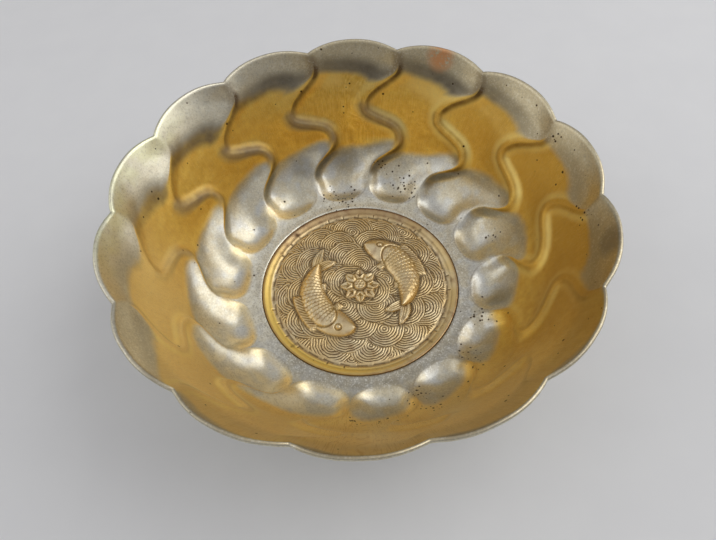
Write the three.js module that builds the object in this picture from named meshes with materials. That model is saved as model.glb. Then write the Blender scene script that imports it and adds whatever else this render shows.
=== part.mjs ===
// A small bowl hammered from one sheet into a swirl of hollow lobes. A cast relief disc lies in a
// sunk seat in the middle of the floor, and a foot ring is soldered under the seat.
// Millimetres, +Z up. The origin is the centre of the foot ring's underside, on the table.
import * as THREE from "three";

// Wall of the bowl
const lobeCount = 14;
const cuspRadius = 60; // axis to the notch between two lobes, at the rim
const bowlDepth = 38; // rim notch down to the floor, inside
const sheet = 1.1;
const rimSlope = THREE.MathUtils.degToRad(62); // the wall's rise from the horizontal at the rim
const rimStraightness = 20; // how far the wall keeps that slope on its way down
const floorStraightness = 15; // how far the floor runs level before it turns up
const crownRise = 2.5; // the middle of a lobe's edge above its notches, along the wall
const crownFullness = 2.2; // 2 is a plain arc, more is a flatter crown

// Crest between two lobes. Each point is a height along the wall, as a share of its length, and
// a drift round the bowl, in lobe widths, clockwise seen from above.
const crestDrift = [
  [1.0, 0.0], [0.95, 0.03], [0.89, 0.03], [0.835, -0.06], [0.77, -0.23], [0.715, -0.33],
  [0.67, -0.365], [0.635, -0.35], [0.61, -0.295], [0.59, -0.205], [0.565, -0.05], [0.535, 0.085],
  [0.5, 0.15], [0.46, 0.17], [0.42, 0.13], [0.375, 0.015], [0.32, -0.165], [0.28, -0.245],
  [0.235, -0.285], [0.19, -0.3],
];
const crestRound = 0.7; // radius that softens the crest's edge

// Hollow of a lobe, from the rim down to the bulb: a height as a share of the wall, and a size
const hollowDepth = [[1.0, 0.9], [0.8, 0.75], [0.6, 0.95], [0.45, 1.5], [0.3, 2.1], [0.0, 2.0]];
const steepFlank = [
  [1.0, 10], [0.88, 6], [0.75, 3.0], [0.6, 2.4], [0.3, 2.5], [0.12, 4.0], [0.0, 4.4],
];
const steepFullness = 1.5; // how round a flank's top is: 1 is a straight slope with a corner
const gentleFlank = [[1.0, 10], [0.85, 9], [0.6, 9], [0.3, 8], [0.0, 8]];
const gentleFullness = 2;
const bulbTop = 9.6; // the crests end this far up the wall, where a bulb's round bottom begins
const bulbDrop = 7.0; // the bulb's bottom reaches this far below that
const bulbFullness = 2.3;
const bulbBottomFlank = 5.5;

// Seat, relief disc and foot
const seatRadius = 29.5;
const floorLedge = 0.5; // level floor between the seat and the foot of the wall
const discClearance = 0.3; // between the disc's edge and the seat's wall
const discThickness = 2.0;
const solderThickness = 0.3;
const discLip = 0.5; // level edge of the disc
const discBorder = 2.1; // gilt slope from the lip down to the field
const fieldDrop = 0.9; // the field below the lip
const footTopRadius = 26;
const footFlare = 1.5; // the foot's bottom stands out this much further
const footWall = 1.6;
const footHeight = 3.8;
const footSolderOverhang = 0.4;

// Relief: two fish chase each other round a lotus boss
const fishCount = 2;
const fishTurn = 0.45; // the first fish's place round the disc, from +X
const fishCircle = 14.5; // radius of the circle that the fish swim on
const fishSpan = THREE.MathUtils.degToRad(58); // half of a body's length, as an angle
const fishHalfWidth = 4.4;
const fishHeight = 1.5;
const tailSpan = THREE.MathUtils.degToRad(26);
const tailHalfWidth = 5;
const tailHeight = 0.8;
const tailFade = 0.3; // the last share of a tail's length, where it sinks into the field
const bossRadius = 5.8;
const bossHeight = 1.4;

// Mesh density
const crestRows = [
  1, 0.955, 0.9, 0.84, 0.78, 0.72, 0.665, 0.625, 0.595, 0.57, 0.545, 0.515, 0.46, 0.405, 0.35,
  0.3, 0.245, 0.19,
]; // heights where a row of the mesh meets the crest, as shares of the wall
const lobeColumns = [0, 0.05, 0.14, 0.28, 0.5, 0.69, 0.82, 0.93]; // places across a lobe
const webRows = [0.4, 1]; // rows between the bulbs' bottoms and the ledge
const discSegments = 72;
const fieldRings = 14;
const slopeProbe = 0.35; // step for measuring the hollow's slope
const finest = 0.01; // keeps a tapering width above zero

const gilt = { color: 0xb98a35, metalness: 1, roughness: 0.35 };
const silver = { color: 0xaaa59a, metalness: 1, roughness: 0.35 };
const solder = { color: 0x8d8a86, metalness: 1, roughness: 0.6 };

// A smooth curve through [x, y] points, read at any x. Its slope at a point is the chord between
// the point's neighbours, and the ends run on level.
function smoothTable(points) {
  const sorted = [...points].sort((a, b) => a[0] - b[0]);
  const last = sorted.length - 1;
  const slopes = sorted.map((_, i) => {
    const before = sorted[Math.max(i - 1, 0)];
    const after = sorted[Math.min(i + 1, last)];
    return (after[1] - before[1]) / (after[0] - before[0]);
  });
  return (x) => {
    if (x <= sorted[0][0]) return sorted[0][1];
    if (x >= sorted[last][0]) return sorted[last][1];
    const i = sorted.findIndex((point) => point[0] > x) - 1;
    const [x0, y0] = sorted[i];
    const [x1, y1] = sorted[i + 1];
    const span = x1 - x0;
    const t = (x - x0) / span;
    const rise = y1 - y0;
    const bend0 = slopes[i] * span - rise;
    const bend1 = rise - slopes[i + 1] * span;
    return y0 + rise * t + t * (1 - t) * ((1 - t) * bend0 + t * bend1);
  };
}

const driftAt = smoothTable(crestDrift);
const depthAt = smoothTable(hollowDepth);
const steepFlankAt = smoothTable(steepFlank);
const gentleFlankAt = smoothTable(gentleFlank);

// Wall profile, from the ledge round the seat up to the rim notch
const floorRadius = seatRadius + floorLedge;
const wall = new THREE.CubicBezierCurve(
  new THREE.Vector2(floorRadius, -bowlDepth),
  new THREE.Vector2(floorRadius + floorStraightness, -bowlDepth),
  new THREE.Vector2(
    cuspRadius - rimStraightness * Math.cos(rimSlope),
    -rimStraightness * Math.sin(rimSlope),
  ),
  new THREE.Vector2(cuspRadius, 0),
);
const wallLength = wall.getLength();
const lobeAngle = (2 * Math.PI) / lobeCount;
const firstCusp = Math.PI / 2 + lobeAngle / 2; // a lobe is centred on +Y

// Heights down the axis
const floorBelowRim = bowlDepth;
const seatBelowRim = floorBelowRim + discThickness + solderThickness;
const undersideBelowRim = seatBelowRim + sheet;
const rimHeight = undersideBelowRim + solderThickness + footHeight;

// A point by its height along the wall (mm), its place round the bowl (lobe widths, clockwise)
// and how far it is pushed out from the smooth wall.
function bowlPoint(height, place, push) {
  const share = THREE.MathUtils.clamp(height / wallLength, 0, 1);
  const onWall = wall.getPointAt(share);
  const along = wall.getTangentAt(share);
  const beyond = height - share * wallLength;
  const radius = onWall.x + along.x * beyond + along.y * push;
  const z = rimHeight + onWall.y + along.y * beyond - along.x * push;
  const angle = firstCusp - place * lobeAngle;
  return new THREE.Vector3(radius * Math.cos(angle), radius * Math.sin(angle), z);
}

// Softened arch over 0..1: 0 at both ends, 1 in the middle
function arch(share, fullness) {
  return 1 - Math.abs(2 * share - 1) ** fullness;
}

// The bulb's round bottom: how far it hangs below bulbTop at a place across the lobe
function bulbSag(share) {
  return bulbDrop * arch(share, bulbFullness) ** (1 / bulbFullness);
}

function distanceToPath(point, path) {
  const segment = new THREE.Line3();
  const nearest = new THREE.Vector3();
  let best = Infinity;
  for (let i = 1; i < path.length; i += 1) {
    segment.set(path[i - 1], path[i]).closestPointToPoint(point, true, nearest);
    best = Math.min(best, nearest.distanceTo(point));
  }
  return best;
}

// The three edges of the lobe that starts at crest 0: its steep crest, its gentle crest and the
// round bottom of its bulb. They are measured on the smooth wall.
const edgeSteps = 80;
const steps = Array.from({ length: edgeSteps + 1 }, (_, i) => i / edgeSteps);
const crestHeights = steps.map((t) => bulbTop + t * (wallLength + crownRise - bulbTop));
const crestPath = (offset) =>
  crestHeights.map((height) => bowlPoint(height, offset + driftAt(height / wallLength), 0));
const steepPath = crestPath(0);
const gentlePath = crestPath(1);
const bulbDrift = driftAt(bulbTop / wallLength);
const bulbPath = steps.map((t) => {
  const share = (1 - Math.cos(Math.PI * t)) / 2;
  return bowlPoint(bulbTop - bulbSag(share), bulbDrift + share, 0);
});

// 0 on an edge, 1 past the flank's width, with the edge itself rounded
function flank(distance, width, fullness) {
  const softened = Math.hypot(distance, crestRound) - crestRound;
  const x = Math.min(softened / width, 1);
  return 1 - (1 - x) ** fullness;
}

// Depth of the hollow at a height and a place in lobe 0. Outside the lobe's outline it is 0.
function hollow(height, place) {
  const share = height / wallLength;
  const across = place - driftAt(Math.max(share, bulbTop / wallLength));
  const below = bulbTop - height;
  if (below > 0 && (across <= 0 || across >= 1 || below >= bulbSag(across))) return 0;
  const point = bowlPoint(height, place, 0);
  return (
    depthAt(share)
    * flank(distanceToPath(point, steepPath), steepFlankAt(share), steepFullness)
    * flank(distanceToPath(point, gentlePath), gentleFlankAt(share), gentleFullness)
    * flank(distanceToPath(point, bulbPath), bulbBottomFlank, gentleFullness)
  );
}

// Longer way through the sheet where the hollow's side is steep, so that the sheet keeps its gauge
function sheetPush(height, place) {
  const aside = slopeProbe / (cuspRadius * lobeAngle);
  const up = hollow(height + slopeProbe, place) - hollow(height - slopeProbe, place);
  const round = hollow(height, place + aside) - hollow(height, place - aside);
  const slope = Math.hypot(up, round) / (2 * slopeProbe);
  return sheet * Math.min(Math.hypot(1, slope), 1.5);
}

// Where a row of the mesh runs, for each column across a lobe
function wallRow(crestShare) {
  const crestHeight = crestShare * wallLength;
  const nearRim = THREE.MathUtils.smoothstep(crestShare, 0.8, 1);
  const nearBulb = 1 - THREE.MathUtils.smoothstep(crestHeight, bulbTop, 0.5 * wallLength);
  return lobeColumns.map((across) => {
    const height = crestHeight
      + nearRim * crownRise * arch(across, crownFullness)
      - nearBulb * bulbSag(across);
    return { height, place: driftAt(Math.max(height, bulbTop) / wallLength) + across };
  });
}

function webRow(share) {
  return lobeColumns.map((across) => ({
    height: (1 - share) * (bulbTop - bulbSag(across)),
    place: bulbDrift + across,
  }));
}

// A ring of points round the whole bowl, inside or outside the sheet
function bowlRing(row, outside) {
  const pushes = row.map(({ height, place }) =>
    hollow(height, place) + (outside ? sheetPush(height, place) : 0));
  const ring = [];
  for (let lobe = 0; lobe < lobeCount; lobe += 1) {
    row.forEach(({ height, place }, i) => ring.push(bowlPoint(height, place + lobe, pushes[i])));
  }
  return ring;
}

// A level ring below the wall's last row, point for point under it
function levelRing(row, radius, z) {
  return bowlRing(row, false).map((point) => {
    const angle = Math.atan2(point.y, point.x);
    return new THREE.Vector3(radius * Math.cos(angle), radius * Math.sin(angle), z);
  });
}

// One closed skin over a stack of rings, closed by a point at each end. The first point is on
// top and the rings run outwards and under.
function skinRings(top, rings, bottom, clockwise) {
  const points = [top, ...rings.flat(), bottom];
  const count = rings[0].length;
  const lastPoint = points.length - 1;
  const index = [];
  const face = (a, b, c) => index.push(...(clockwise ? [a, c, b] : [a, b, c]));
  for (let i = 0; i < count; i += 1) {
    const next = (i + 1) % count;
    face(0, 1 + i, 1 + next);
    for (let ring = 1; ring < rings.length; ring += 1) {
      const upper = 1 + (ring - 1) * count;
      const lower = upper + count;
      face(upper + i, lower + i, lower + next);
      face(upper + i, lower + next, upper + next);
    }
    const rim = 1 + (rings.length - 1) * count;
    face(rim + i, lastPoint, rim + next);
  }
  const geometry = new THREE.BufferGeometry().setFromPoints(points);
  geometry.setIndex(index);
  geometry.computeVertexNormals();
  return geometry;
}

function bowlShell() {
  const web = webRows.map(webRow);
  const rows = [...crestRows.map(wallRow), ...web];
  const ledge = rows[rows.length - 1];
  const seatTop = rimHeight - floorBelowRim;
  const seatFloor = rimHeight - seatBelowRim;
  const underside = rimHeight - undersideBelowRim;
  const outerSeatRadius = seatRadius + sheet;
  const inside = rows.map((row) => bowlRing(row, false)).reverse();
  const outside = rows.slice(0, -1).map((row) => bowlRing(row, true)); // the seat's wall is wider
  const rings = [
    levelRing(ledge, seatRadius, seatFloor),
    levelRing(ledge, seatRadius, seatTop),
    ...inside,
    ...outside,
    levelRing(ledge, outerSeatRadius, seatTop - sheet),
    levelRing(ledge, outerSeatRadius, underside),
  ];
  return skinRings(
    new THREE.Vector3(0, 0, seatFloor), rings, new THREE.Vector3(0, 0, underside), true,
  );
}

// A soft swelling: 1 on its middle line, 0 at its edge and past it
function swell(toEdge) {
  return Math.max(1 - toEdge ** 2, 0) ** 0.8;
}

// Height of the relief over the disc's field
function relief(x, y) {
  const radius = Math.hypot(x, y);
  const turn = Math.atan2(y, x);
  let height = bossHeight * swell(radius / bossRadius);
  for (let fish = 0; fish < fishCount; fish += 1) {
    const middle = fishTurn + (2 * Math.PI * fish) / fishCount;
    const along = THREE.MathUtils.euclideanModulo(turn - middle + Math.PI, 2 * Math.PI) - Math.PI;
    const aside = Math.abs(radius - fishCircle);
    const body = THREE.MathUtils.clamp(along / fishSpan, -1, 1);
    const bodyWidth = finest + fishHalfWidth * Math.sqrt(1 - body ** 2) * (1 + 0.3 * body);
    height = Math.max(height, fishHeight * swell(aside / bodyWidth));
    const tail = (-along - 0.85 * fishSpan) / tailSpan;
    if (tail > 0 && tail < 1) {
      const tailWidth = tailHalfWidth * (0.25 + 0.75 * tail);
      const fade = Math.min((1 - tail) / tailFade, 1); // the tail's end slopes down to the field
      height = Math.max(height, tailHeight * fade * swell(aside / tailWidth));
    }
  }
  return height;
}

const discRadius = seatRadius - discClearance;
const discTop = rimHeight - floorBelowRim;
const discBottom = discTop - discThickness;
const fieldRadius = discRadius - discLip - discBorder;

function circleRing(radius, heightAt) {
  return Array.from({ length: discSegments }, (_, i) => {
    const angle = (2 * Math.PI * i) / discSegments;
    const x = radius * Math.cos(angle);
    const y = radius * Math.sin(angle);
    return new THREE.Vector3(x, y, heightAt(x, y));
  });
}

function reliefDisc() {
  const field = (x, y) => discTop - fieldDrop + relief(x, y);
  const fieldRadii = Array.from({ length: fieldRings }, (_, i) => (fieldRadius * (i + 1)) / fieldRings);
  const rings = [
    ...fieldRadii.map((radius) => circleRing(radius, field)),
    circleRing(discRadius - discLip, () => discTop),
    circleRing(discRadius, () => discTop),
    circleRing(discRadius, () => discBottom),
  ];
  return skinRings(
    new THREE.Vector3(0, 0, field(0, 0)), rings, new THREE.Vector3(0, 0, discBottom), false,
  );
}

// Solid of revolution about +Z from a closed outline of [radius, z] points
function turned(outline) {
  const profile = [...outline, outline[0]].map(([radius, z]) => new THREE.Vector2(radius, z));
  const geometry = new THREE.LatheGeometry(profile, discSegments);
  geometry.rotateX(Math.PI / 2);
  return geometry;
}

function discSolder() {
  const top = discBottom;
  const bottom = top - solderThickness;
  return turned([[0, bottom], [discRadius, bottom], [discRadius, top], [0, top]]);
}

const footTop = footHeight;
const footInner = footTopRadius - footWall;

function footSolder() {
  const inner = footInner - footSolderOverhang;
  const outer = footTopRadius + footSolderOverhang;
  const top = footTop + solderThickness;
  return turned([[inner, footTop], [outer, footTop], [outer, top], [inner, top]]);
}

function footRing() {
  const land = footFlare / 2; // short upright band at the foot's bottom
  return turned([
    [footInner, 0], [footTopRadius + footFlare, 0], [footTopRadius + footFlare, land],
    [footTopRadius, footHeight / 2 + land], [footTopRadius, footTop], [footInner, footTop],
  ]);
}

function piece(name, geometry, finish) {
  const mesh = new THREE.Mesh(geometry, new THREE.MeshStandardMaterial(finish));
  mesh.name = name;
  return mesh;
}

const bowl = new THREE.Group();
bowl.add(
  piece("bowl_shell", bowlShell(), silver),
  piece("relief_disc", reliefDisc(), gilt),
  piece("disc_solder", discSolder(), solder),
  piece("foot_solder", footSolder(), solder),
  piece("foot_ring", footRing(), silver),
);

export default bowl;
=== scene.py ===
# %% [markdown]
# # A hammered bowl with a swirl of hollow lobes
# The bowl is one sheet of metal, raised from inside and outside into fourteen S-shaped lobes.
# A gilt relief disc is soldered into a sunk seat in its floor, and a foot ring under it. Two thin
# finishes lie on the sheet: gilding in a band round the wall, and a pale, silver-like tone on
# the rim, the bulbs and the floor.
#
# The measured model comes first: it says where each piece is. Everything below is built around
# it, in metres.

# %% The measured model
import math

import bpy
import numpy as np
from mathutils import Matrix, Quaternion, Vector


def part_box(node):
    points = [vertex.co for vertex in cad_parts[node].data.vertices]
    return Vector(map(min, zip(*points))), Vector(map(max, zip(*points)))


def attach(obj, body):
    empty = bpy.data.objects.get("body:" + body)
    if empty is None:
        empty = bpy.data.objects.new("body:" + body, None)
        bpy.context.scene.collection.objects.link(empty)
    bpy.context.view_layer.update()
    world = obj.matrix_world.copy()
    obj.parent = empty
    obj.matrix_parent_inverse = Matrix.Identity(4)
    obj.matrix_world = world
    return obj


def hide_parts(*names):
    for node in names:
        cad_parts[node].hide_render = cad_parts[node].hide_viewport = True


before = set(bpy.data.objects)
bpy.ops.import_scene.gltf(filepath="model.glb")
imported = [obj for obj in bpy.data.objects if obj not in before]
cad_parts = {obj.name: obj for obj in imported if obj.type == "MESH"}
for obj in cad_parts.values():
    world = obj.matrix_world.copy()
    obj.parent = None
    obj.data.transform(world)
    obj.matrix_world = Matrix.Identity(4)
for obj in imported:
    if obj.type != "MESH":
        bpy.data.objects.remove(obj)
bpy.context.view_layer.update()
millimetre = 0.001
print("measured model:", sorted(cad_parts))

# %% [markdown]
# ## Writing node trees as Python
# A node tree drawn by hand is quick to try and slow to read. Here the sums in a tree are written
# as sums: a small class wraps a socket, and adding or multiplying it puts a Math node in the
# tree. Every other node comes from one method, which sets the node's options first, because
# some options change which sockets a node has.

# %% A socket that can be added and multiplied
class Number:
    """A number in a node tree."""

    def __init__(self, net, socket):
        self.net = net
        self.socket = socket

    def math(self, operation, *others):
        values = {i + 1: other for i, other in enumerate(others)}
        return self.net.number("ShaderNodeMath", {"operation": operation}, {0: self, **values})

    def __add__(self, other):
        return self.math("ADD", other)

    def __sub__(self, other):
        return self.math("SUBTRACT", other)

    def __mul__(self, other):
        return self.math("MULTIPLY", other)

    def __truediv__(self, other):
        return self.math("DIVIDE", other)

    def __pow__(self, other):
        return self.math("POWER", other)

    def __rsub__(self, other):
        return self.net.number("ShaderNodeMath", {"operation": "SUBTRACT"}, {0: other, 1: self})

    def __rtruediv__(self, other):
        return self.net.number("ShaderNodeMath", {"operation": "DIVIDE"}, {0: other, 1: self})

    __radd__ = __add__
    __rmul__ = __mul__

    def at_most(self, other):
        return self.math("MINIMUM", other)

    def at_least(self, other):
        return self.math("MAXIMUM", other)

    def rising(self, start, end):
        """0 before start, 1 after end and smooth between them."""
        settings = {"interpolation_type": "SMOOTHSTEP"}
        return self.net.number("ShaderNodeMapRange", settings, {0: self, 1: start, 2: end})

    def falling(self, start, end):
        return 1 - self.rising(start, end)

    def band(self, start, full, fading, end):
        """1 from full to fading, and 0 before start and after end."""
        return self.rising(start, full) * self.falling(fading, end)


# %% A node tree that makes nodes
class Net:
    """A node tree, for geometry or for a material."""

    def __init__(self, tree):
        self.tree = tree

    def add(self, kind, settings=None, values=None):
        """A node of that kind, with its options and then the values or links of its sockets."""
        node = self.tree.nodes.new(kind)
        for name, setting in (settings or {}).items():
            if name == "points":
                self._set_points(node.mapping, setting)
            else:
                setattr(node, name, setting)
        for name, value in (values or {}).items():
            target = node.inputs[name]
            value = getattr(value, "socket", value)
            if isinstance(value, bpy.types.NodeSocket):
                self.tree.links.new(value, target)
            else:
                target.default_value = value
        return node

    def number(self, kind, settings=None, values=None, output=0):
        return Number(self, self.add(kind, settings, values).outputs[output])

    def vector(self, operation, *values, output=0):
        settings = {"operation": operation}
        return self.add("ShaderNodeVectorMath", settings, dict(enumerate(values))).outputs[output]

    def scaled(self, vector, amount):
        values = {0: vector, "Scale": amount}
        return self.add("ShaderNodeVectorMath", {"operation": "SCALE"}, values).outputs[0]

    def blend(self, factor, first, second):
        """first where factor is 0, second where it is 1, as colours."""
        values = {"Factor": factor, 6: first, 7: second}
        return self.add("ShaderNodeMix", {"data_type": "RGBA"}, values).outputs[2]

    def combine(self, x, y, z):
        return self.add("ShaderNodeCombineXYZ", values={0: x, 1: y, 2: z}).outputs[0]

    def split(self, vector):
        node = self.add("ShaderNodeSeparateXYZ", values={0: vector})
        return [Number(self, output) for output in node.outputs]

    @staticmethod
    def from_axis(x, y):
        """Distance from the axis, kept above 0 so that it can be divided by."""
        return (x * x + y * y).at_least(1e-12) ** 0.5

    @staticmethod
    def _set_points(mapping, points):
        """Put the points of a Float Curve on it, in order."""
        mapping.use_clip = False
        line = mapping.curves[0]
        ordered = sorted(points)
        line.points[0].location = ordered[0]
        line.points[-1].location = ordered[-1]
        for place, value in ordered[1:-1]:
            line.points.new(place, value)
        mapping.update()


# %% Objects and the numbers stored on their points
def new_object(name, data):
    """An object in the scene that holds that mesh, lamp or camera."""
    result = bpy.data.objects.new(name, data)
    bpy.context.scene.collection.objects.link(result)
    return result


def store_on_points(mesh, fields):
    """Each named row of numbers, one for each point, for a tree or a material to read."""
    for name, values in fields.items():
        stored = mesh.attributes.new(name, "FLOAT", "POINT")
        stored.data.foreach_set("value", np.asarray(values, np.float32))


# %% [markdown]
# ## Sizes
# The measured model gives the outer sizes. The sizes that it can't tell, such as where the crest
# of a lobe drifts, are the same named values as in its source, in millimetres. The crest is a
# table of a few points: a height as a share of the wall, and a drift in lobe widths.

# %% Sizes from the model and from the wall's rule
_, disc_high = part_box("relief_disc")
foot_low, foot_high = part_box("foot_ring")
foot_height = foot_high.z - foot_low.z
lobe_count = 14
lobe_angle = 2 * math.pi / lobe_count
first_cusp = math.pi / 2 + lobe_angle / 2
cusp_radius = 60 * millimetre
bowl_depth = 38 * millimetre
sheet = 1.1 * millimetre
rim_slope = math.radians(62)
rim_straightness = 20 * millimetre
floor_straightness = 15 * millimetre
crown_rise = 2.5 * millimetre
crown_fullness = 2.2
disc_radius = disc_high.x
seat_gap = 0.14 * millimetre
floor_ledge = 0.8 * millimetre
seat_radius = disc_radius + seat_gap
floor_radius = disc_radius + floor_ledge
solder_thickness = 0.3 * millimetre
disc_thickness = 2.0 * millimetre
underside = foot_high.z + solder_thickness
seat_floor = underside + sheet
floor_level = seat_floor + solder_thickness + disc_thickness
cusp_level = floor_level + bowl_depth
bulb_top = 9.6 * millimetre
bulb_drop = 7.0 * millimetre
bulb_fullness = 2.3
print(f"rim notches {cusp_level * 1000:.1f} mm above the table, floor {floor_level * 1000:.1f} mm")

# %% The crest and the hollows
# The hollow's depth and the widths of its two flanks are in millimetres, by the share of the wall.
crest_drift = [
    (1.0, 0.0), (0.95, 0.03), (0.89, 0.03), (0.835, -0.06), (0.77, -0.23), (0.715, -0.33),
    (0.67, -0.365), (0.635, -0.35), (0.61, -0.295), (0.59, -0.205), (0.565, -0.05),
    (0.535, 0.085), (0.5, 0.15), (0.46, 0.17), (0.42, 0.13), (0.375, 0.015),
    (0.32, -0.165), (0.28, -0.245), (0.235, -0.285), (0.19, -0.3),
]
crest_round = 0.7 * millimetre
hollow_depth = [(0.0, 2.0), (0.3, 2.1), (0.45, 1.5), (0.6, 0.95), (0.8, 0.75), (1.0, 0.9)]
steep_fullness = 1.5
steep_flank = [
    (0.0, 4.4), (0.12, 4.0), (0.3, 2.5), (0.6, 2.4), (0.75, 3.0), (0.88, 6.0), (1.0, 10.0),
]
gentle_flank = [(0.0, 8.0), (0.3, 8.0), (0.6, 9.0), (0.85, 9.0), (1.0, 10.0)]
bulb_bottom_flank = 5.5 * millimetre

# %% The gilt band
# Its borders are tables of a place across the lobe and a height up the wall, in millimetres,
# and the third table says how dark the metal over it is: smoky tarnish, and painted shade. On
# some sides the gilding was laid wider or narrower, by the millimetres below.
upper_border = [
    (0.0, 45.5), (0.1, 44.8), (0.3, 44.4), (0.45, 44.1), (0.6, 43.4), (0.75, 42.3), (0.87, 41.5),
    (0.94, 41.9), (0.98, 43.8), (1.0, 45.5),
]
lower_border = [
    (0.0, 15.0), (0.05, 16.0), (0.12, 19.0), (0.3, 20.5), (0.5, 21.2), (0.7, 22.0), (0.86, 22.6),
    (0.94, 21.6), (1.0, 18.5),
]
smoke_and_shade_share = [
    (0.0, 0.2), (0.12, 0.7), (0.4, 0.9), (0.65, 1.0), (0.85, 0.9), (0.95, 0.4), (1.0, 0.2),
]
front_rise = 9.0
front_dip = 9.0
left_drop = 3.5
right_lift = 3.0
near_lift = 1.0
lowest_gilt = 9.8

# %% [markdown]
# ## The sheet's flat pattern
# A smith marks one lobe on a flat sheet before raising it. The script does the same: it makes
# the strip of mesh for one lobe, and writes on each point how high up the wall it will be, how
# far across the lobe, and whether it is inside or outside the sheet. No shape yet: Geometry
# Nodes raise the strip afterwards. Mesh code suits this step, because the rows have to be closer
# where the crest bends and the columns closer beside it.

# %% Rows and columns of one lobe
wall_rows = 96
outer_rows = 54
column_count = 30
web_steps = 8
lip_steps = 4
bend_share = 0.59
bend_width = 0.05
bend_crowding = 2.2
crowding_steps = 2000
edge_crowding = 0.6


def arch(share, fullness):
    """0 at both ends of 0..1 and 1 in the middle."""
    return 1 - np.abs(2 * share - 1) ** fullness


def bulb_sag(across):
    return bulb_drop * arch(across, bulb_fullness) ** (1 / bulb_fullness)


def crowded(count, low, high):
    """Shares of the wall from high to low, closest where the crest runs round the bowl."""
    fine = np.linspace(low, high, crowding_steps)
    density = 1 + bend_crowding * np.exp(-(((fine - bend_share) / bend_width) ** 2))
    summed = np.cumsum(density)
    summed = (summed - summed[0]) / (summed[-1] - summed[0])
    return np.interp(np.linspace(1, 0, count), summed, fine)


even = np.linspace(0, 1, column_count + 1)
columns = even - edge_crowding * np.sin(2 * np.pi * even) / (2 * np.pi)
print(f"{column_count} columns across a lobe, the first {columns[1]:.3f} of it from its crest")


# %% The wall's length
def wall_outline(count=4000):
    """The smooth wall's outline, from the floor up to the rim notch, as radius and height."""
    rim_handle = rim_straightness * np.array([math.cos(rim_slope), math.sin(rim_slope)])
    corners = np.array([
        (floor_radius, -bowl_depth),
        (floor_radius + floor_straightness, -bowl_depth),
        (cusp_radius, 0) - rim_handle,
        (cusp_radius, 0),
    ])
    t = np.linspace(0, 1, count)[:, None]
    weights = [(1 - t) ** 3, 3 * t * (1 - t) ** 2, 3 * t**2 * (1 - t), t**3]
    return corners, sum(weight * corner for weight, corner in zip(weights, corners))


wall_corners, outline = wall_outline()
wall_length = np.hypot(*np.diff(outline, axis=0).T).sum()
print(f"the wall is {wall_length * 1000:.2f} mm long from floor to rim notch")


# %% The strip's rows
# They run from the middle of the floor up the inside, over the lip and down the outside.
crest_near_rim = 0.8
bulb_fades = 0.5
seat_edge = 0.15 * millimetre
seat_lip_out = 0.12 * millimetre
seat_lip_down = 0.03 * millimetre
pan_edge = 0.2 * millimetre
rows_off_pan = 3


def smooth(x, start, end):
    """0 before start, 1 after end and smooth between them."""
    t = np.clip((x - start) / (end - start), 0, 1)
    return t * t * (3 - 2 * t)


def wall_row(crest_share, top):
    """Heights of a row that meets the crest at that share of the wall."""
    crest_height = crest_share * top
    near_rim = smooth(crest_share, crest_near_rim, 1)
    near_bulb = 1 - smooth(crest_height, bulb_top, bulb_fades * wall_length)
    rise = near_rim * crown_rise * arch(columns, crown_fullness)
    return crest_height + rise - near_bulb * bulb_sag(columns)


def strip_rows():
    """Each row: heights, hollow (1 in the lobe), side (1 outside), lip, a level ring's place."""
    top = wall_length - sheet / 2
    lowest = bulb_top / top
    rows = []

    def row(heights, hollow, side, lip=0.0, ring=0.0, level=0.0):
        rows.append((heights, hollow, side, lip, ring, level))

    web = [(1 - share) * (bulb_top - bulb_sag(columns)) for share in np.linspace(0, 1, web_steps)]
    flat = np.zeros_like(columns)
    row(flat, 0, 0, ring=0.0, level=seat_floor)
    row(flat, 0, 0, ring=seat_radius, level=seat_floor)
    row(flat, 0, 0, ring=seat_radius, level=floor_level - seat_edge)
    row(flat, 0, 0, ring=seat_radius + seat_lip_out, level=floor_level - seat_lip_down)
    for heights in reversed(web[1:]):
        row(heights, 0, 0)
    for share in reversed(crowded(wall_rows, lowest, 1)):
        row(wall_row(share, top), 1, 0)
    for step in range(1, lip_steps):
        angle = math.pi * step / lip_steps
        row(wall_row(1, top), 1, (1 - math.cos(angle)) / 2, lip=math.sin(angle))
    for share in crowded(outer_rows, lowest, 1):
        row(wall_row(share, top), 1, 1)
    for heights in web[1:-rows_off_pan]:
        row(heights, 0, 1)
    outer_seat = seat_radius + sheet
    row(flat, 0, 0, ring=outer_seat + seat_edge, level=floor_level - sheet)
    row(flat, 0, 0, ring=outer_seat, level=floor_level - sheet - seat_edge)
    row(flat, 0, 0, ring=outer_seat, level=underside + pan_edge)
    row(flat, 0, 0, ring=outer_seat - pan_edge, level=underside)
    row(flat, 0, 0, ring=0.0, level=underside)
    return rows


# %% The strip's mesh
def strip_mesh():
    rows = strip_rows()
    across = np.tile(columns, len(rows))
    height = np.concatenate([row[0] for row in rows])
    width = len(columns)
    quads = [
        (i * width + j, i * width + j + 1, (i + 1) * width + j + 1, (i + 1) * width + j)
        for i in range(len(rows) - 1)
        for j in range(width - 1)
    ]
    mesh = bpy.data.meshes.new("lobe_pattern")
    mesh.from_pydata(np.stack([across, height, 0 * height], 1).tolist(), [], quads)
    fields = {"across": across, "height": height}
    for i, name in enumerate(("hollow", "side", "lip", "ring", "level"), start=1):
        fields[name] = np.repeat([row[i] for row in rows], width)
    store_on_points(mesh, fields)
    return mesh


pattern = new_object("bowl_sheet", strip_mesh())
print(f"one lobe: {len(pattern.data.vertices)} points, {len(pattern.data.polygons)} faces")

# %% [markdown]
# ## Raising the sheet with Geometry Nodes
# The whole shell follows one rule, so one tree can make it: bend the flat strip onto the smooth
# wall, sink the hollow by the distance to the lobe's edges, copy the lobe round the bowl, and
# give the sheet its thickness. The distance is what makes the crests look hammered: a flank is
# as wide measured square to the crest as it is anywhere along its S. It could all be done in
# mesh code, but the tree keeps every size as a named input that can be turned while looking.

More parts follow.
